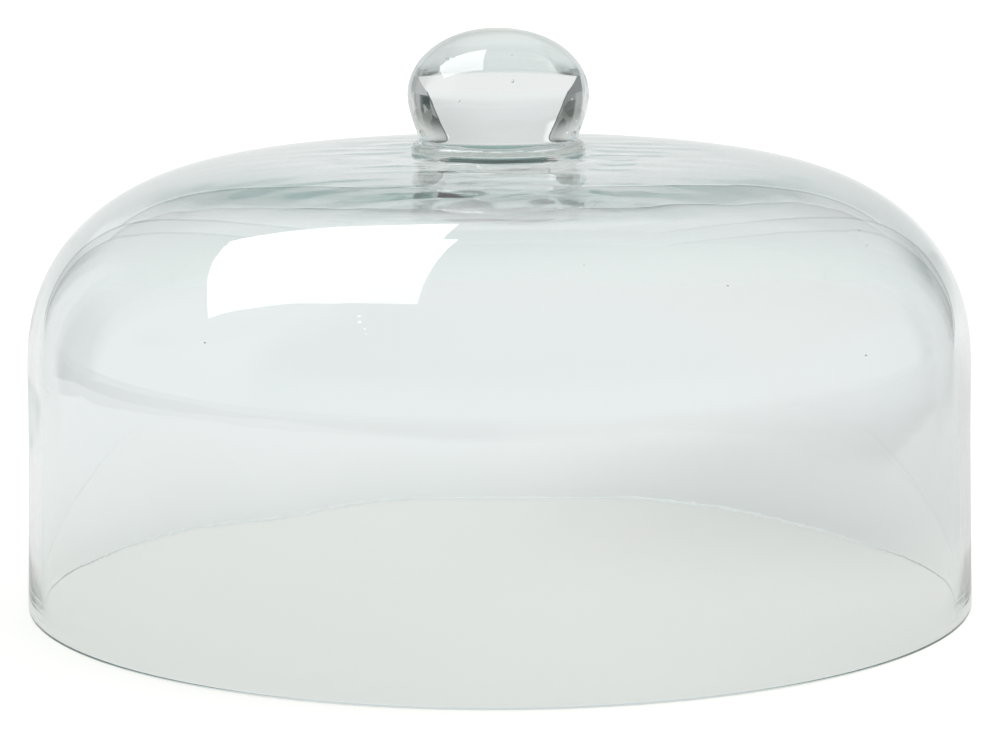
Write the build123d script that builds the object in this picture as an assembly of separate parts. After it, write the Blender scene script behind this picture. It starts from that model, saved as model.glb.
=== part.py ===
from build123d import *
import os

# Clear glass dome with a solid glass grip knob, in millimetres.
# Every piece is a body of revolution about Z. The rim stands on z = 0, centred on the
# origin, with +Z up. All profile points are (radius, height).

# --- rim ---
RIM_R = 150.0            # outside radius at the rim, the widest place
WALL_THICKNESS = 3.8     # at the rim and at the top of the wall
RIM_INNER_R = RIM_R - WALL_THICKNESS
RIM_ROUND = 0.8          # rounding of both rim edges
ROUND_HANDLE = 0.5523 * RIM_ROUND   # Bezier handle length that makes a quarter-round
LAND_TOP_Z = 7.0         # top of the straight inside land just above the rim

# --- wall, where its slight taper has become vertical ---
WALL_TOP_Z = 70.0
WALL_TOP_R = 148.6
WALL_TOP_INNER_R = WALL_TOP_R - WALL_THICKNESS
WALL_PULL_Z = 50.0       # height of the pull point that shapes the outside of the wall
WALL_INNER_PULL_Z = [48.0, 25.0]    # the same inside, downwards

# --- crown ---
CROWN_Z = 142.4          # flat seat under the knob, top of the dome body
CROWN_THICKNESS = 6.05   # glass thickness in the middle of the crown
CROWN_INNER_Z = CROWN_Z - CROWN_THICKNESS

# --- collar: the wafer of glass between crown and knob ---
COLLAR_FOOT_R = 27.2     # where the collar meets the crown
COLLAR_HEIGHT = 3.6
COLLAR_BULGE = [(28.0, 143.3), (27.6, 145.2)]   # pull points of its rounded edge
NECK_R = 25.1            # the crease between collar and knob
NECK_Z = CROWN_Z + COLLAR_HEIGHT

# --- knob ---
KNOB_R = 28.42           # widest radius of the grip
KNOB_WIDE_Z = 160.2      # height of the widest place
KNOB_TOP_Z = 180.9       # highest point of the dome
KNOB_UNDER = [(NECK_R, 148.8), (KNOB_R, 153.9)]      # pull points below the widest place
KNOB_OVER = [(KNOB_R, 171.5), (16.6, KNOB_TOP_Z)]    # pull points above it

# --- shoulder and crown: Bezier points from the top of the wall to the crown ---
OUTER_CURVE = [
    (WALL_TOP_R, WALL_TOP_Z), (WALL_TOP_R, 85.7), (WALL_TOP_R, 94.64), (149.55, 148.23),
    (83.04, 138.86), (87.05, 141.02), (43.73, 142.2), (COLLAR_FOOT_R, CROWN_Z),
]
# The glass thickens from the wall to the crown.
INNER_CURVE = [
    (WALL_TOP_INNER_R, WALL_TOP_Z), (WALL_TOP_INNER_R, 84.75), (WALL_TOP_INNER_R, 112.79),
    (131.95, 104.38), (118.33, 154.47), (88.49, 125.21), (63.49, 138.52),
    (24.17, CROWN_INNER_Z), (0.0, CROWN_INNER_Z),
]


def turned(profile):
    """Turn a closed profile about Z: two points make a line, more make a Bezier curve."""
    edges = []
    for points in profile:
        vectors = [Vector(radius, 0.0, height) for radius, height in points]
        edges.append(Line(*vectors) if len(vectors) == 2 else Bezier(*vectors))
    return Solid.revolve(Face(Wire(edges)), 360.0, Axis.Z)


def dome_shell():
    """Rim, wall, shoulder and crown in one piece."""
    foot_outer = (RIM_R - RIM_ROUND, 0.0)
    foot_inner = (RIM_INNER_R + RIM_ROUND, 0.0)
    rim_outer = (RIM_R, RIM_ROUND)
    rim_inner = (RIM_INNER_R, RIM_ROUND)
    land_top = (RIM_INNER_R, LAND_TOP_Z)
    pull_high, pull_low = WALL_INNER_PULL_Z
    return turned([
        # outside, upwards from the rim
        [foot_outer, (RIM_R - RIM_ROUND + ROUND_HANDLE, 0.0),
         (RIM_R, RIM_ROUND - ROUND_HANDLE), rim_outer],
        [rim_outer, (WALL_TOP_R, WALL_PULL_Z), OUTER_CURVE[0]],
        OUTER_CURVE,
        [OUTER_CURVE[-1], (0.0, CROWN_Z)],
        # down the axis through the crown's glass
        [(0.0, CROWN_Z), INNER_CURVE[-1]],
        # inside, downwards to the rim
        INNER_CURVE[::-1],
        [INNER_CURVE[0], (WALL_TOP_INNER_R, pull_high), (RIM_INNER_R, pull_low), land_top],
        [land_top, rim_inner],
        [rim_inner, (RIM_INNER_R, RIM_ROUND - ROUND_HANDLE),
         (RIM_INNER_R + RIM_ROUND - ROUND_HANDLE, 0.0), foot_inner],
        # the flat the dome stands on
        [foot_inner, foot_outer],
    ])


def knob_collar():
    """Round-edged wafer, touching the crown below and the knob above."""
    foot = (COLLAR_FOOT_R, CROWN_Z)
    neck = (NECK_R, NECK_Z)
    return turned([
        [(0.0, CROWN_Z), foot],
        [foot, *COLLAR_BULGE, neck],
        [neck, (0.0, NECK_Z)],
        [(0.0, NECK_Z), (0.0, CROWN_Z)],
    ])


def glass_knob():
    """Solid flattened-ball grip."""
    neck = (NECK_R, NECK_Z)
    widest = (KNOB_R, KNOB_WIDE_Z)
    top = (0.0, KNOB_TOP_Z)
    return turned([
        [(0.0, NECK_Z), neck],
        [neck, *KNOB_UNDER, widest],
        [widest, *KNOB_OVER, top],
        [top, (0.0, NECK_Z)],
    ])


os.makedirs("parts", exist_ok=True)
for build in (dome_shell, knob_collar, glass_knob):
    piece = build()
    piece.label = build.__name__
    export_step(piece, f"parts/{piece.label}.step")
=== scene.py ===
"""Blown glass dome with a solid knob, on a pale table.

The open rim stands on z = 0, the axis is Z and the front faces -Y. Three fused pieces: the
dome, a collar laid on its crown and the knob on the collar. Pieces are drawn in millimetres,
the stage in metres.
"""
import math

import bmesh
import bpy
import numpy as np
from mathutils import Matrix, Vector


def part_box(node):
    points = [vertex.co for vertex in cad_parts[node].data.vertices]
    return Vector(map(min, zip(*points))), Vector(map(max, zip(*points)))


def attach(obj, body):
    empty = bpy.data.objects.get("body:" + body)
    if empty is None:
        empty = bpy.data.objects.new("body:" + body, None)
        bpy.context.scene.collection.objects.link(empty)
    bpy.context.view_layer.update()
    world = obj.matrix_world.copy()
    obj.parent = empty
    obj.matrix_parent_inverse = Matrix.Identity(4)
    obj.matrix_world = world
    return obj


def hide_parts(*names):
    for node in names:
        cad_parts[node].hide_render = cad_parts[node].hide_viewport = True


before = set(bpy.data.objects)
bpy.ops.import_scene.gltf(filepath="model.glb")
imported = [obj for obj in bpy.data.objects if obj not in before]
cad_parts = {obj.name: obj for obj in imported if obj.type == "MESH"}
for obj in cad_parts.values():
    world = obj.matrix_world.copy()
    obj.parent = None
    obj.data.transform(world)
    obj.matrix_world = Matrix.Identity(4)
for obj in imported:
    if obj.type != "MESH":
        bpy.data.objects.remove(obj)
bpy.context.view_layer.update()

# ---------------------------------------------------------------------------
# Sizes, in mm. Points are (radius, height); curves are Bezier control points.
# ---------------------------------------------------------------------------
MM = 0.001
GAP = 0.005                 # a hair between fused faces, so that no two lie in one plane
WALL = 3.8                  # wall thickness
RIM_R = 150.0
RIM_IN_R = RIM_R - WALL
RIM_ROUND = 0.8             # rounding of the rim's two edges
LAND_Z = 7.0                # top of the straight land inside the rim
WALL_TOP_R, WALL_TOP_Z = 148.6, 70.0
WALL_TOP_IN_R = WALL_TOP_R - WALL
CROWN_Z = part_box("knob_collar")[0].z / MM       # flat the collar stands on
CROWN_IN_Z = CROWN_Z - 6.05                     # the crown is 6.05 thick
NECK_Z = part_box("glass_knob")[0].z / MM         # crease between collar and knob
KNOB_TOP_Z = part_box("glass_knob")[1].z / MM
FOOT_R, NECK_R = 27.2, 25.1                     # collar's foot and top
KNOB_R, KNOB_WIDE_Z = 28.42, 160.2              # knob at its widest

SHOULDER = [(WALL_TOP_R, WALL_TOP_Z), (148.6, 85.7), (148.6, 94.64), (149.55, 148.23),
            (83.04, 138.86), (87.05, 141.02), (43.73, 142.2), (FOOT_R, CROWN_Z)]
SHOULDER_IN = [(0.0, CROWN_IN_Z), (24.17, CROWN_IN_Z), (63.49, 138.52), (88.49, 125.21),
               (118.33, 154.47), (131.95, 104.38), (144.8, 112.79), (144.8, 84.75),
               (WALL_TOP_IN_R, WALL_TOP_Z)]
BULGE = [(FOOT_R, CROWN_Z + GAP), (28.0, 143.3), (27.6, 145.2), (NECK_R, NECK_Z)]
KNOB_UNDER = [(NECK_R, NECK_Z + GAP), (NECK_R, 148.8), (KNOB_R, 153.9), (KNOB_R, KNOB_WIDE_Z)]
KNOB_OVER = [(KNOB_R, KNOB_WIDE_Z), (KNOB_R, 171.5), (16.6, KNOB_TOP_Z), (0.0, KNOB_TOP_Z)]

DOME_SEGMENTS, KNOB_SEGMENTS = 360, 300         # round the axis
FLAT_STEPS, BULGE_STEPS = 2, 22

# Bubbles: (x, y, z, radius, stretch, turn in degrees)
DOME_BUBBLES = [
    (107.09, -62.1, 123.68, 0.45, 1.5, -30), (108.85, -68.03, 120.05, 0.3, 1.3, -30),
    (64.94, -116.27, 115.28, 0.28, 1.4, 30), (105.88, -99.18, 92.6, 0.35, 1.3, 40),
    (-83.67, -115.79, 99.6, 0.3, 1.6, -35), (30.0, 132.4, 102.9, 0.3, 1.4, 10)]
KNOB_BUBBLES = [
    (-14.5, -13.0, 171.0, 0.55, 1.5, 20), (-12.9, -14.2, 171.6, 0.3, 1.2, 70),
    (3.6, -6.0, 168.0, 0.22, 1.6, 5), (3.0, 4.0, 160.5, 0.25, 1.4, 40),
    (-8.0, 2.0, 158.5, 0.2, 1.3, 10), (15.5, 6.0, 155.0, 0.35, 1.3, 60),
    (17.0, -3.0, 150.5, 0.4, 1.2, 15), (-17.0, 5.0, 152.0, 0.35, 1.5, 35),
    (12.0, 8.0, 172.0, 0.2, 1.2, 0), (19.5, -8.0, 159.5, 0.3, 1.3, 80)]


# ---------------------------------------------------------------------------
# Profiles and bodies of revolution
# ---------------------------------------------------------------------------
def bezier(controls, steps):
    """steps + 1 points along a Bezier curve, evenly spaced along its length."""
    controls = np.array(controls, float)
    degree = len(controls) - 1
    t = np.linspace(0.0, 1.0, 1600)
    curve = sum(math.comb(degree, i) * ((1 - t) ** (degree - i) * t ** i)[:, None] * point
                for i, point in enumerate(controls))
    length = np.r_[0.0, np.cumsum(np.hypot(*np.diff(curve, axis=0).T))]
    stops = np.linspace(0.0, length[-1], steps + 1)
    return np.c_[np.interp(stops, length, curve[:, 0]), np.interp(stops, length, curve[:, 1])]


def straight(start, end, steps):
    t = np.linspace(0.0, 1.0, steps + 1)[:, None]
    return np.array(start) * (1 - t) + np.array(end) * t


def joined(first, *others):
    """One profile from several; each later one leaves out its first point."""
    return np.vstack([first, *(part[1:] for part in others)])


def revolve(name, profile, segments, deviation, fused_bands, crease):
    """Closed body of revolution; the profile starts and ends on the axis.

    deviation(r, z, angles, row) is the push along the profile's normal in mm, or None.
    Band i lies above row i; fused_bands take material slot 1. crease lists the sharp rows.
    """
    step = np.gradient(profile, axis=0)
    normals = np.c_[step[:, 1], -step[:, 0]]
    normals /= np.maximum(np.hypot(normals[:, 0], normals[:, 1]), 1e-9)[:, None]
    angles = np.arange(segments) * 2 * math.pi / segments
    last = len(profile) - 1
    points = []
    for row, ((r, z), (normal_r, normal_z)) in enumerate(zip(profile, normals)):
        push = deviation(r, z, angles, row) if deviation else np.zeros(segments)
        if row in (0, last):
            points.append((0.0, 0.0, z + normal_z * float(np.mean(push))))
        else:
            radii = r + normal_r * push
            points += zip(radii * np.cos(angles), radii * np.sin(angles), z + normal_z * push)

    def ring(row):
        return 1 + (row - 1) * segments

    faces = []
    for band in range(last):
        low, high = ring(band), ring(band + 1)
        for i in range(segments):
            j = (i + 1) % segments
            if band == 0:
                faces.append((0, high + j, high + i))
            elif band == last - 1:
                faces.append((low + i, low + j, len(points) - 1))
            else:
                faces.append((low + i, low + j, high + j, high + i))

    mesh = bpy.data.meshes.new(name)
    mesh.from_pydata((np.array(points) * MM).tolist(), [], faces)
    mesh.update()
    mesh.polygons.foreach_set("use_smooth", [True] * len(faces))
    slots = [int(band in fused_bands) for band in range(last) for _ in range(segments)]
    mesh.polygons.foreach_set("material_index", slots)
    sharp = mesh.attributes.get("sharp_edge") or mesh.attributes.new("sharp_edge", "BOOLEAN", "EDGE")
    ends = np.array([edge.vertices[:] for edge in mesh.edges])
    marks = np.zeros(len(ends), bool)
    for row in crease:
        marks |= ((ends >= ring(row)) & (ends < ring(row + 1))).all(1)
    sharp.data.foreach_set("value", marks)
    body = bpy.data.objects.new(name, mesh)
    bpy.context.scene.collection.objects.link(body)
    return body


def add_bubbles(body, bubbles, subdivisions):
    """Small closed cavities inside the glass; their faces look into the bubble."""
    bm = bmesh.new()
    bm.from_mesh(body.data)
    for x, y, z, radius, stretch, turn in bubbles:
        size = radius * MM
        place = (Matrix.Translation(Vector((x, y, z)) * MM)
                 @ Matrix.Rotation(math.radians(turn), 4, "Z")
                 @ Matrix.Diagonal((stretch * size, size, size * 0.8, 1.0)))
        made = bmesh.ops.create_icosphere(bm, subdivisions=subdivisions, radius=1.0, matrix=place)
        faces = {face for vert in made["verts"] for face in vert.link_faces}
        for face in faces:
            face.smooth = True
            face.material_index = 0
        bmesh.ops.reverse_faces(bm, faces=list(faces))
    bm.to_mesh(body.data)
    bm.free()


# ---------------------------------------------------------------------------
# Hand-made deviations, in mm. Outside is smooth, inside is slightly wavy.
# ---------------------------------------------------------------------------
# Waves round the axis: (height, count round, phase, climb in mm per radian of phase)
OUTER_WAVES = [(0.05, 2, 0.7, math.inf), (0.02, 3, -1.1, math.inf), (0.015, 5, 0.0, 21.0)]
INNER_WAVES = [(0.03, 3, 0.4, 60.0), (0.02, 5, -1.3, 35.0), (0.012, 9, 2.0, -24.0)]
KNOB_WAVES = [(0.10, 2, 1.0, math.inf), (0.05, 3, -0.4, 20.0)]

# Lumps of the crown: (wavelength, direction, phase, height)
LUMPS = [(15.0, 1.45, 0.3, 0.076), (18.0, 1.92, 4.0, 0.086), (12.0, 1.62, 2.2, 0.042),
         (25.0, 0.35, 0.9, 0.086), (16.0, 2.62, 5.1, 0.067), (20.0, 0.79, 3.3, 0.076)]

# Glass that ran down before it set: (degrees from the front towards +X, how much thicker
# the low wall is and thinner the high wall)
SAG = [(-180, 0.10), (-160, 0.22), (-135, -0.10), (-105, 0.0), (-62, 0.0), (-51, 0.07),
       (-42, 0.42), (-36, 0.46), (-31, 0.22), (-24, 0.0), (-18, 0.28), (-11, 0.36), (-5, 0.28),
       (3, 0.28), (9, 0.34), (15, 0.46), (25, 0.50), (32, 0.40), (38, 0.30), (43, 0.12),
       (53, 0.05), (62, 0.0), (105, 0.0), (130, 0.22), (155, -0.12), (180, 0.10)]
SAG_WINDOW = np.hanning(9) / np.hanning(9).sum()
SAG_DEGREES = np.arange(-190, 191)      # past the half turn, so the smoothing has no seam
SAG_SMOOTH = np.convolve(np.interp((SAG_DEGREES + 180) % 360 - 180, *np.array(SAG).T),
                         SAG_WINDOW, "same")


def ease(value, start, end):
    """Smooth step from 0 at start to 1 at end."""
    t = np.clip((value - start) / (end - start), 0.0, 1.0)
    return t * t * (3 - 2 * t)


def hump(r, centre, width):
    return np.exp(-((r - centre) / width) ** 2)


def waves(table, z, angles):
    return sum(height * np.cos(count * angles + phase + z / climb)
               for height, count, phase, climb in table)


def outer_wave(r, z, angles):
    """Push of the dome's outside; positive is outward."""
    wall = ease(z, 4.0, 40.0) * (1 - ease(z, 118.0, 140.0))
    # the crown is lumpy where the hot collar was laid on it, less so further out
    crown = ease(r, FOOT_R, 30.0) * ease(z, 120.0, 132.0)
    crown = crown * (0.03 + 0.97 * hump(r, centre=27.0, width=26.0))
    x, y = r * np.cos(angles), r * np.sin(angles)
    lumps = sum(height * np.sin(2 * math.pi * (x * math.cos(way) + y * math.sin(way)) / length
                                + phase)
                for length, way, phase, height in LUMPS)
    return waves(OUTER_WAVES, z, angles) * wall + crown * lumps


def inner_wave(r, z, angles):
    """Push of the dome's inside; positive thins the glass."""
    wall = ease(z, 9.0, 30.0) * (1 - ease(z, 110.0, 130.0))
    level_rings = 0.012 * np.cos(z / 9.0 + 2 * np.cos(angles))
    from_front = (np.degrees(angles) + 270.0) % 360.0 - 180.0
    sag = np.interp(from_front, SAG_DEGREES, SAG_SMOOTH) * np.sin(2 * math.pi * (z - 60.0) / 120.0)
    # wandering rings round the axis, and two broad waves further out
    crown = ease(z, 126.0, 133.0)
    wander = 0.9 * np.cos(2 * angles + 0.5) + 0.5 * np.cos(3 * angles)
    rings = 0.30 * np.cos(r / 4.6 + wander) * hump(r, centre=22.0, width=24.0)
    broad = (0.12 * np.cos(2 * angles + 0.6) * ease(r, 10.0, 60.0)
             + 0.08 * np.cos(3 * angles - 0.8) * ease(r, 20.0, 80.0))
    return (waves(INNER_WAVES, z, angles) + level_rings + sag) * wall + crown * (rings + broad)


def knob_wave(r, z, angles, row):
    return waves(KNOB_WAVES, z, angles) * ease(z, 148.0, 156.0) * ease(r, 0.0, 10.0)


# ---------------------------------------------------------------------------
# The three pieces
# ---------------------------------------------------------------------------
def blown_dome():
    """The profile runs down the inside, round the rim and up the outside."""
    tip = RIM_ROUND * (1 - 0.5523)      # Bezier handle of a quarter circle, from its corner
    inside = joined(
        bezier(SHOULDER_IN, 84),
        bezier([(WALL_TOP_IN_R, WALL_TOP_Z), (WALL_TOP_IN_R, 48.0), (RIM_IN_R, 25.0),
                (RIM_IN_R, LAND_Z)], 22),
        straight((RIM_IN_R, LAND_Z), (RIM_IN_R, RIM_ROUND), 3),
        bezier([(RIM_IN_R, RIM_ROUND), (RIM_IN_R, tip), (RIM_IN_R + tip, 0.0),
                (RIM_IN_R + RIM_ROUND, 0.0)], 7))
    outside = joined(
        straight((RIM_IN_R + RIM_ROUND, 0.0), (RIM_R - RIM_ROUND, 0.0), 2),
        bezier([(RIM_R - RIM_ROUND, 0.0), (RIM_R - tip, 0.0), (RIM_R, tip),
                (RIM_R, RIM_ROUND)], 7),
        bezier([(RIM_R, RIM_ROUND), (WALL_TOP_R, 50.0), (WALL_TOP_R, WALL_TOP_Z)], 24),
        bezier(SHOULDER, 90))
    profile = joined(inside, outside, straight((FOOT_R, CROWN_Z), (0.0, CROWN_Z), FLAT_STEPS))
    foot_row = len(inside) + len(outside) - 2

    def deviation(r, z, angles, row):
        if row < len(inside):
            return -inner_wave(r, z, angles)
        # the last rows before the collar's foot stay true, so that the pieces meet
        if row < foot_row - 2:
            return outer_wave(r, z, angles)
        return np.zeros_like(angles)

    dome = revolve("blown_dome", profile, DOME_SEGMENTS, deviation,
                   fused_bands=range(foot_row, len(profile)), crease=[foot_row])
    return dome


def collar_wafer():
    profile = joined(straight((0.0, CROWN_Z + GAP), (FOOT_R, CROWN_Z + GAP), FLAT_STEPS),
                     bezier(BULGE, BULGE_STEPS),
                     straight((NECK_R, NECK_Z), (0.0, NECK_Z), FLAT_STEPS))
    neck_row = FLAT_STEPS + BULGE_STEPS
    return revolve("collar_wafer", profile, KNOB_SEGMENTS, None,
                   fused_bands=[*range(FLAT_STEPS), *range(neck_row, len(profile))],
                   crease=[FLAT_STEPS, neck_row])


def solid_knob():
    profile = joined(straight((0.0, NECK_Z + GAP), (NECK_R, NECK_Z + GAP), FLAT_STEPS),
                     bezier(KNOB_UNDER, 34),
                     bezier(KNOB_OVER, 70))
    return revolve("solid_knob", profile, KNOB_SEGMENTS, knob_wave,
                   fused_bands=range(FLAT_STEPS), crease=[FLAT_STEPS])


# ---------------------------------------------------------------------------
# Node building
# ---------------------------------------------------------------------------
class Nodes:
    """Builds one node tree. An input given as a socket is linked, any other is set."""

    def __init__(self, owner):
        owner.use_nodes = True
        self.tree = owner.node_tree
        self.tree.nodes.clear()

    def add(self, kind, inputs=None, **settings):
        made = self.tree.nodes.new("ShaderNode" + kind)
        for name, value in settings.items():
            setattr(made, name, value)
        for key, value in (inputs or {}).items():
            socket = made.inputs[key]
            if isinstance(value, bpy.types.NodeSocket):
                self.tree.links.new(value, socket)
            else:
                socket.default_value = (*value, 1) if socket.type == "RGBA" else value
        return made

    def maths(self, operation, first, second=0.0):
        return self.add("Math", {0: first, 1: second}, operation=operation).outputs["Value"]

    def plus(self, first, second):
        return self.maths("ADD", first, second)

    def minus(self, first, second):
        return self.maths("SUBTRACT", first, second)

    def times(self, first, second):
        return self.maths("MULTIPLY", first, second)

    def larger(self, first, second):
        return self.maths("MAXIMUM", first, second)

    def fade_in(self, value, start, end, low=0.0, high=1.0):
        """Smooth step from low at start to high at end."""
        return self.add("MapRange", {"Value": value, "From Min": start, "From Max": end,
                                     "To Min": low, "To Max": high},
                        interpolation_type="SMOOTHSTEP").outputs["Result"]

    def fade_out(self, value, start, end, low=0.0, high=1.0):
        """Smooth step from high at start to low at end."""
        return self.fade_in(value, start, end, low=high, high=low)

    def band(self, value, rise, fall):
        """1 between the rise and the fall, each a (start, end)."""
        return self.times(self.fade_in(value, *rise), self.fade_out(value, *fall))

    def blend(self, first, second, factor):
        """The first colour where factor is 0, the second where it is 1."""
        return self.add("Mix", {"A": first, "B": second, "Factor": factor},
                        data_type="RGBA").outputs["Result"]

    def coords(self, space=None):
        """Object coordinates, in another object's space if one is given."""
        return self.add("TexCoord", object=space).outputs["Object"]

    def split(self, vector):
        return self.add("SeparateXYZ", {"Vector": vector}).outputs

    def noise(self, vector, scale, detail):
        return self.add("TexNoise", {"Vector": vector, "Scale": scale,
                                     "Detail": detail}).outputs["Fac"]

    def stretched(self, vector, scale, **turn):
        return self.add("Mapping", {"Vector": vector, "Scale": scale, **turn}).outputs["Vector"]

    def bent(self, rays):
        """1 for rays that met the glass on their way."""
        return self.larger(rays["Is Glossy Ray"], rays["Is Transmission Ray"])

    def rays(self):
        return self.add("LightPath").outputs

    def mix_shaders(self, first, second, factor):
        return self.add("MixShader", {"Fac": factor, 1: first.outputs["BSDF"],
                                      2: second.outputs[0]}).outputs["Shader"]

    def emission(self, color, strength):
        return self.add("Emission", {"Color": color, "Strength": strength})

    def finish(self, surface, **others):
        self.add("OutputMaterial", {"Surface": surface, **others})


# ---------------------------------------------------------------------------
# Glass
# ---------------------------------------------------------------------------
# tint is the surface colour, through what lamps' light keeps at each face, iron the
# density of absorption inside and cord the strength of the blowing marks
DOME_GLASS = dict(tint=(0.97, 1.0, 1.0), through=(0.918, 0.919, 0.903), iron=18.0, cord=1.0)
KNOB_GLASS = dict(tint=(0.965, 0.98, 0.975), through=(0.97, 0.975, 0.97), iron=2.0, cord=0.6)


def glass(name, tint, through, iron, cord):
    """Clear glass. Lamps and the table's light pass it unbent, tinted by through."""
    material = bpy.data.materials.new(name)
    nodes = Nodes(material)
    coords = nodes.coords()
    # slow tint drift through the wall
    color = nodes.blend([c * 0.985 for c in tint], [min(1.0, c * 1.015) for c in tint],
                        nodes.noise(coords, scale=9.0, detail=2.0))
    # cords: long, nearly level streaks left by turning the gather
    level = nodes.stretched(coords, scale=(4.0, 4.0, 130.0))
    cords = nodes.add("Bump", {"Height": nodes.noise(level, scale=1.0, detail=3.0),
                               "Strength": 0.03 * cord, "Distance": 0.0006})
    # fire-polish ripple
    ripple = nodes.add("Bump", {"Height": nodes.noise(coords, scale=38.0, detail=1.0),
                                "Strength": 0.05 * cord, "Distance": 0.0010,
                                "Normal": cords.outputs["Normal"]})
    # hairline wear: very slightly rougher in thin streaks
    thin = nodes.stretched(coords, scale=(900.0, 900.0, 60.0), Rotation=(0.3, 0.5, 0.0))
    wear = nodes.add("MapRange", {"Value": nodes.noise(thin, scale=1.0, detail=1.0),
                                  "From Min": 0.74, "From Max": 0.80,
                                  "To Min": 0.0, "To Max": 0.06})
    solid = nodes.add("BsdfPrincipled", {
        "Base Color": color, "Roughness": wear.outputs["Result"],
        "Normal": ripple.outputs["Normal"], "Transmission Weight": 1.0, "IOR": 1.5})
    clear = nodes.add("BsdfTransparent", {"Color": through})
    rays = nodes.rays()
    unbent = nodes.larger(rays["Is Shadow Ray"], rays["Is Diffuse Ray"])
    # iron in the glass shows where light runs a long way inside
    inside = nodes.add("VolumeAbsorption", {"Color": (0.76, 0.835, 0.825), "Density": iron})
    nodes.finish(nodes.mix_shaders(solid, clear, unbent), Volume=inside.outputs["Volume"])
    return material


def fused_joint():
    """Where two pieces of glass are melted together there is no surface to see."""
    material = bpy.data.materials.new("fused_joint")
    nodes = Nodes(material)
    nodes.finish(nodes.add("BsdfTransparent", {"Color": (1, 1, 1)}).outputs["BSDF"])
    return material


# ---------------------------------------------------------------------------
# Stage, in metres. In the studio's space X is right and Y is away from the camera.
# ---------------------------------------------------------------------------
SWEEP_Y = 0.60              # where the paper sweep stands, behind the dome
SWEEP_H = 1.10
SWEEP_BEND = 0.12           # radius of the bend at its foot
SWEEP_COLUMNS = 9
SWEEP_SCALE = 3.0           # drawn at a third of its distance...
SWEEP_SCALE_Z = 0.15        # ...about a point at this height
# (height, half width): it flares out on to the table
SWEEP_W = [(0.0, 0.615), (0.093, 0.495), (0.163, 0.420), (0.256, 0.366), (0.332, 0.342),
           (0.40, 0.325), (1.2, 0.30)]
# (height, colour) up the paper, all painted light: painted shade dimming it up to 0.362, a painted
# highlight strip at 0.364-0.370, a painted shadow band at 0.372-0.381, then lighter to white from
# 0.60
PAPER_LIGHT = [(0.0, (0.875, 0.885, 0.88)), (0.06, (0.91, 0.93, 0.92)), (0.12, (0.89, 0.91, 0.90)),
         (0.18, (0.80, 0.82, 0.815)), (0.27, (0.74, 0.76, 0.755)), (0.362, (0.73, 0.74, 0.735)),
         (0.364, (1.0, 1.0, 1.0)), (0.370, (1.0, 1.0, 1.0)), (0.372, (0.25, 0.26, 0.25)),
         (0.381, (0.25, 0.26, 0.25)), (0.385, (0.52, 0.51, 0.505)), (0.50, (0.62, 0.61, 0.61)),
         (0.60, (1.0, 1.0, 1.0)), (1.0, (1.0, 1.0, 1.0))]
PANEL = [(-0.022, 0.031, 0.309), (-0.200, 0.064, 0.332), (-0.628, -0.077, 0.558),
         (-0.142, -0.225, 0.637)]
CARD_X, CARD_Z0, CARD_Z1 = 0.30, 0.015, 0.30
# (suffix, side, near end, far end, brightness)
CARDS = [("l", -1, 0.075, 0.215, 0.80), ("r", 1, 0.050, 0.175, 0.56)]
LAMPS = [(-0.2599, -0.3334, 0.5118), (-0.2661, -0.3616, 0.4919)]
LAMP_R = 0.005
LAMP_AIM = (-0.039, -0.134, 0.109)


def add_camera(scene):
    data = bpy.data.cameras.new("camera")
    camera = bpy.data.objects.new("camera", data)
    scene.collection.objects.link(camera)
    scene.camera = camera
    data.sensor_width = 36.0
    data.lens = 136.72
    data.shift_x = 0.00077
    data.clip_start, data.clip_end = 0.05, 50.0
    camera.location = (0.0, -1.1889, 0.2687)
    camera.rotation_mode = "QUATERNION"
    look_down, roll = 9.41, -0.2245     # degrees
    camera.rotation_quaternion = (Matrix.Rotation(math.radians(90 - look_down), 3, "X")
                                  @ Matrix.Rotation(math.radians(roll), 3, "Z")).to_quaternion()
    return camera


def add_studio(scene, camera):
    """The studio turns with the camera, so every view is lit alike."""
    studio = bpy.data.objects.new("studio", None)
    scene.collection.objects.link(studio)
    turn = studio.constraints.new("COPY_ROTATION")
    turn.target = camera
    turn.use_x = turn.use_y = False
    return studio


def stage_mesh(name, verts, faces, material, parent=None, hidden_from=()):
    mesh = bpy.data.meshes.new(name)
    mesh.from_pydata(verts, [], faces)
    made = bpy.data.objects.new(name, mesh)
    bpy.context.scene.collection.objects.link(made)
    made.parent = parent
    for rays in hidden_from:
        setattr(made, "visible_" + rays, False)
    mesh.materials.append(material)
    return made


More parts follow.
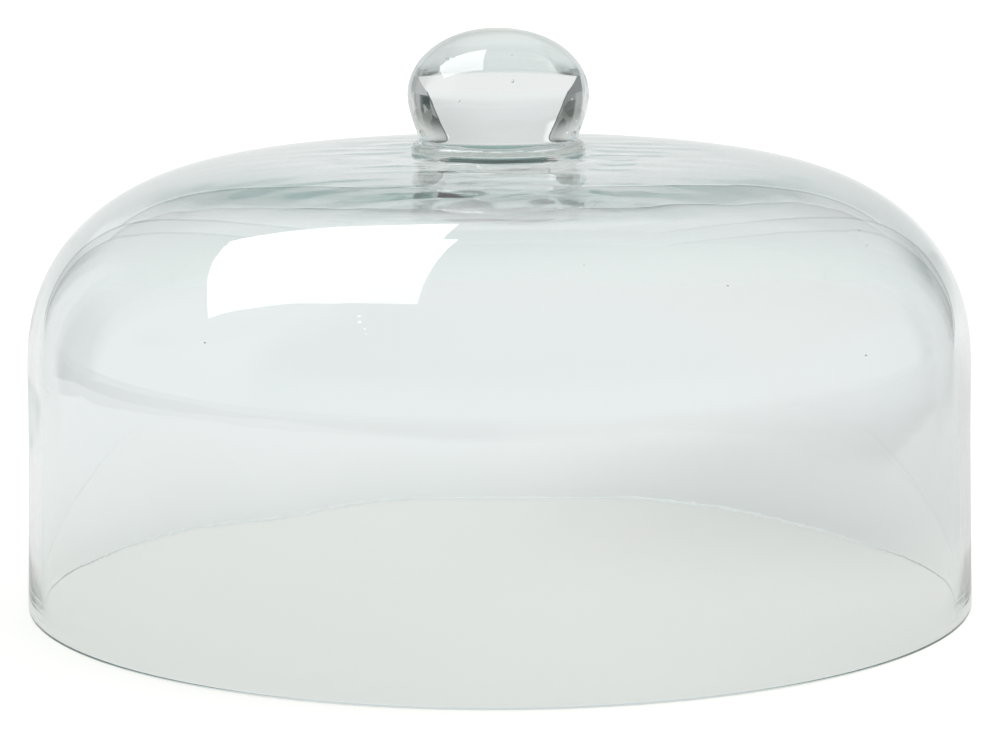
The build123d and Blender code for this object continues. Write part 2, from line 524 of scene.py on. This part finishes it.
def pale_table(studio):
    material = bpy.data.materials.new("pale_table")
    nodes = Nodes(material)
    plus, minus, times, larger = nodes.plus, nodes.minus, nodes.times, nodes.larger
    fade_in, fade_out = nodes.fade_in, nodes.fade_out
    tone = nodes.blend((0.90, 0.90, 0.895), (0.92, 0.92, 0.915),
                       nodes.noise(nodes.coords(), scale=60.0, detail=4.0))
    place = nodes.split(nodes.coords(studio))
    x, y = place["X"], place["Y"]
    # half width of the lit table: it widens towards the paper, and more so on the left
    reach = plus(times(larger(y, 0.23), 0.45), 0.347)
    reach = plus(reach, times(larger(minus(y, 0.30), 0.0), 0.18))
    reach = plus(reach, times(fade_out(x, -0.05, 0.05, high=0.34), fade_out(y, 0.30, 0.45)))
    # the dim room beside the lit table and in front of it
    beside = fade_in(minus(nodes.maths("ABSOLUTE", x), reach), -0.01, 0.01)
    before = fade_out(y, -0.75, -0.65)
    room = times(larger(beside, before), fade_out(x, -0.1, 0.1, high=0.80, low=0.55))
    # slighter dimming outside the rim, to the right, and behind to the right
    radius = nodes.maths("SQRT", plus(nodes.maths("POWER", x, 2.0), nodes.maths("POWER", y, 2.0)))
    away = fade_in(radius, 0.149, 0.156)
    right = times(fade_in(x, 0.0, 0.25), fade_out(y, -0.1, 0.1))
    back = times(fade_in(x, -0.05, 0.12), fade_in(y, -0.02, 0.12))
    back = times(back, fade_out(minus(y, x), 0.08, 0.30))
    dim = plus(plus(times(away, 0.09), times(right, 0.14)), times(back, 0.15))
    # the dimming shows only through the glass; seen directly the table is brighter
    rays = nodes.rays()
    dim = times(larger(dim, room), nodes.bent(rays))
    level = times(minus(1.0, dim), plus(1.0, times(rays["Is Camera Ray"], 0.25)))
    shade = nodes.add("VectorMath", {0: tone, "Scale": level}, operation="SCALE")
    diffuse = nodes.add("BsdfDiffuse", {"Color": shade.outputs["Vector"]})
    nodes.finish(diffuse.outputs["BSDF"])
    return material


def paper():
    # painted light: the paper is no lamp, yet it glows; its lit and shaded brightness is painted
    # into the emission
    material = bpy.data.materials.new("paper")
    nodes = Nodes(material)
    fade_in, fade_out = nodes.fade_in, nodes.fade_out
    place = nodes.split(nodes.coords())
    x, z = place["X"], place["Z"]
    ramp = nodes.add("ValToRGB", {"Fac": nodes.maths("DIVIDE", z, SWEEP_H)})
    stops = ramp.color_ramp.elements
    while len(stops) < len(PAPER_LIGHT):
        stops.new(0.5)
    for stop, (height, color) in zip(stops, PAPER_LIGHT):
        stop.position, stop.color = height / SWEEP_H, (*color, 1)
    # painted shade: the paper glows up to a tenth dimmer towards the right, above 0.1-0.2 m
    painted_shade_right = nodes.times(fade_in(x, -0.05, 0.32, high=0.10), fade_in(z, 0.10, 0.20))
    # a window's light on the paper
    pane = nodes.times(nodes.band(x, rise=(-0.375, -0.365), fall=(-0.30, -0.25)),
                       nodes.band(z, rise=(0.27, 0.30), fall=(0.358, 0.362)))
    across = nodes.add("Attribute", attribute_name="across").outputs["Fac"]
    shaded_edges = fade_out(nodes.maths("ABSOLUTE", across), 0.952, 0.966, low=0.15)
    lit = nodes.plus(nodes.minus(1.0, painted_shade_right), nodes.times(pane, 0.34))
    glow = nodes.emission(ramp.outputs["Color"], nodes.times(shaded_edges, lit))
    nodes.finish(glow.outputs["Emission"])
    return material


def paper_sweep(studio):
    """Seen only through and in the glass, so the background stays plain."""
    foot_y = SWEEP_Y - SWEEP_BEND
    rows = [(foot_y, 0.0)]
    rows += [(foot_y + SWEEP_BEND * math.sin(t), SWEEP_BEND - SWEEP_BEND * math.cos(t))
             for t in np.linspace(0.05, math.pi / 2, 24)]
    rows += [(SWEEP_Y, z) for z in np.linspace(0.14, SWEEP_H, 40)]
    columns = np.linspace(-1, 1, SWEEP_COLUMNS)
    verts = [(x * np.interp(z, *np.array(SWEEP_W).T), y, z) for y, z in rows for x in columns]
    corners = [SWEEP_COLUMNS * i + j for i in range(len(rows) - 1)
               for j in range(SWEEP_COLUMNS - 1)]
    faces = [(k, k + 1, k + SWEEP_COLUMNS + 1, k + SWEEP_COLUMNS) for k in corners]
    sweep = stage_mesh("paper_sweep", verts, faces, paper(), studio,
                       hidden_from=("camera", "diffuse", "shadow"))
    across = sweep.data.attributes.new("across", "FLOAT", "POINT")
    across.data.foreach_set("value", [x for _ in rows for x in columns])
    sweep.scale = (SWEEP_SCALE,) * 3
    sweep.location = (0.0, 0.0, (1 - SWEEP_SCALE) * SWEEP_SCALE_Z)


def soft_light():
    """Bright where the glass shows it, weak as a light on the table."""
    material = bpy.data.materials.new("soft_light")
    nodes = Nodes(material)
    power = nodes.add("MapRange", {"Value": nodes.bent(nodes.rays()),
                                   "To Min": 0.25, "To Max": 5.8})
    glow = nodes.emission((1, 1, 0.99), power.outputs["Result"])
    nodes.finish(glow.outputs["Emission"])
    return material


def card_light(name, near, far, brightness):
    """Plain glow that fades to nothing at the card's edges."""
    material = bpy.data.materials.new(name)
    nodes = Nodes(material)
    place = nodes.split(nodes.coords())
    body = nodes.times(nodes.band(place["Y"], rise=(near, near + 0.03), fall=(far - 0.03, far)),
                       nodes.band(place["Z"], rise=(CARD_Z0, 0.04), fall=(0.22, CARD_Z1)))
    gone = nodes.add("BsdfTransparent", {"Color": (1, 1, 1)})
    nodes.finish(nodes.mix_shaders(gone, nodes.emission((1, 1, 1), brightness), body))
    return material


def side_cards(studio):
    """Two pale cards close beside the dome, seen as soft light along its shoulders."""
    for suffix, side, near, far, brightness in CARDS:
        x = CARD_X * side
        verts = [(x, near, CARD_Z0), (x, far, CARD_Z0), (x, far, CARD_Z1), (x, near, CARD_Z1)]
        stage_mesh("side_card_" + suffix, verts, [(0, 1, 2, 3)],
                   card_light("card_" + suffix, near, far, brightness), studio,
                   hidden_from=("camera", "shadow", "diffuse"))


def small_lamps(studio, material):
    """Two small discs, seen as sparks low in the shoulder."""
    for number, centre in enumerate(LAMPS):
        centre = Vector(centre)
        aim = (Vector(LAMP_AIM) - centre).normalized()
        side = aim.orthogonal().normalized()
        up = aim.cross(side)
        verts = [tuple(centre + LAMP_R * (side * math.cos(t) + up * math.sin(t)))
                 for t in np.linspace(0, 2 * math.pi, 13)[:-1]]
        stage_mesh("lamp_%d" % number, verts, [tuple(range(12))], material, studio,
                   hidden_from=("shadow", "diffuse", "camera"))


def studio_world(scene, studio):
    """Plain white by itself; the glass shows a dimmer room with pale cards."""
    world = bpy.data.worlds.new("studio_world")
    scene.world = world
    nodes = Nodes(world)
    blend = nodes.blend
    coords = nodes.coords(studio)
    place = nodes.split(coords)
    azimuth = nodes.maths("ARCTAN2", place["X"], place["Y"])   # 0 behind the dome, + to the right
    elevation = nodes.maths("ARCSINE", place["Z"])

    def above(angle, start, end):
        return nodes.fade_in(angle, math.radians(start), math.radians(end))

    def below(angle, start, end):
        return nodes.fade_out(angle, math.radians(start), math.radians(end))

    cells = nodes.add("TexVoronoi", {"Vector": coords, "Scale": 5.0}, distance="CHEBYCHEV")
    cell = nodes.add("SeparateColor", {"Color": cells.outputs["Color"]}).outputs["Red"]
    high = above(elevation, 10, 24)
    # behind, beside the paper
    glow = blend((0.04, 0.055, 0.05), (0.32, 0.33, 0.315), nodes.fade_in(cell, 0.1, 0.95))
    glow = blend(glow, (0.36, 0.37, 0.36), above(nodes.maths("ABSOLUTE", azimuth), 46, 49))
    glow = blend(glow, (0.66, 0.66, 0.65), high)
    # pale card to the left, greyer one to the right
    glow = blend(glow, (0.88, 0.90, 0.91), below(azimuth, -67.5, -64))
    glow = blend(glow, blend((0.66, 0.66, 0.65), (0.57, 0.53, 0.50), high),
                 above(azimuth, 56.5, 59.5))
    front = nodes.larger(above(azimuth, 112, 125), below(azimuth, -125, -112))
    glow = blend(glow, blend((0.60, 0.72, 0.76), (0.42, 0.47, 0.49), high), front)
    glow = blend(glow, (0.58, 0.575, 0.57), above(elevation, 60, 70))     # overhead
    plain = nodes.add("RGB").outputs[0]
    plain.default_value = (1.10, 1.10, 1.10, 1)
    seen = blend(plain, glow, nodes.bent(nodes.rays()))
    background = nodes.add("Background", {"Color": seen, "Strength": 1.0})
    nodes.add("OutputWorld", {"Surface": background.outputs["Background"]})


def render_settings(scene):
    cycles = scene.cycles
    cycles.max_bounces = cycles.transmission_bounces = cycles.glossy_bounces = 96
    cycles.diffuse_bounces, cycles.transparent_max_bounces = 3, 32
    cycles.caustics_refractive = cycles.caustics_reflective = True
    cycles.blur_glossy = 0.0
    cycles.sample_clamp_indirect = 0.0
    cycles.use_denoising = True
    view = scene.view_settings
    view.view_transform = "Standard"
    view.look = "None"
    view.exposure = 0.0
    view.gamma = 1.0


# ---------------------------------------------------------------------------
# Build
# ---------------------------------------------------------------------------
dome, collar, knob = blown_dome(), collar_wafer(), solid_knob()
add_bubbles(dome, DOME_BUBBLES, subdivisions=1)
add_bubbles(knob, KNOB_BUBBLES, subdivisions=2)

joint = fused_joint()
for piece, cad_name, slot_name, look in ((dome, "dome_shell", "dome_glass", DOME_GLASS),
                                         (collar, "knob_collar", "collar_glass", KNOB_GLASS),
                                         (knob, "glass_knob", "knob_glass", KNOB_GLASS)):
    piece.data.materials.append(glass(slot_name, **look))
    piece.data.materials.append(joint)
    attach(piece, "root")
    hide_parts(cad_name)

scene = bpy.context.scene
studio = add_studio(scene, add_camera(scene))
stage_mesh("floor", [(-4, -4, -0.0001), (4, -4, -0.0001), (4, 4, -0.0001), (-4, 4, -0.0001)],
           [(0, 1, 2, 3)], pale_table(studio))
paper_sweep(studio)
# overhead panel, seen bright in the shoulder and the knob
light = soft_light()
stage_mesh("soft_panel", PANEL, [(0, 1, 2, 3)], light, studio, hidden_from=("shadow", "camera"))
side_cards(studio)
small_lamps(studio, light)
studio_world(scene, studio)
render_settings(scene)

bpy.context.view_layer.update()
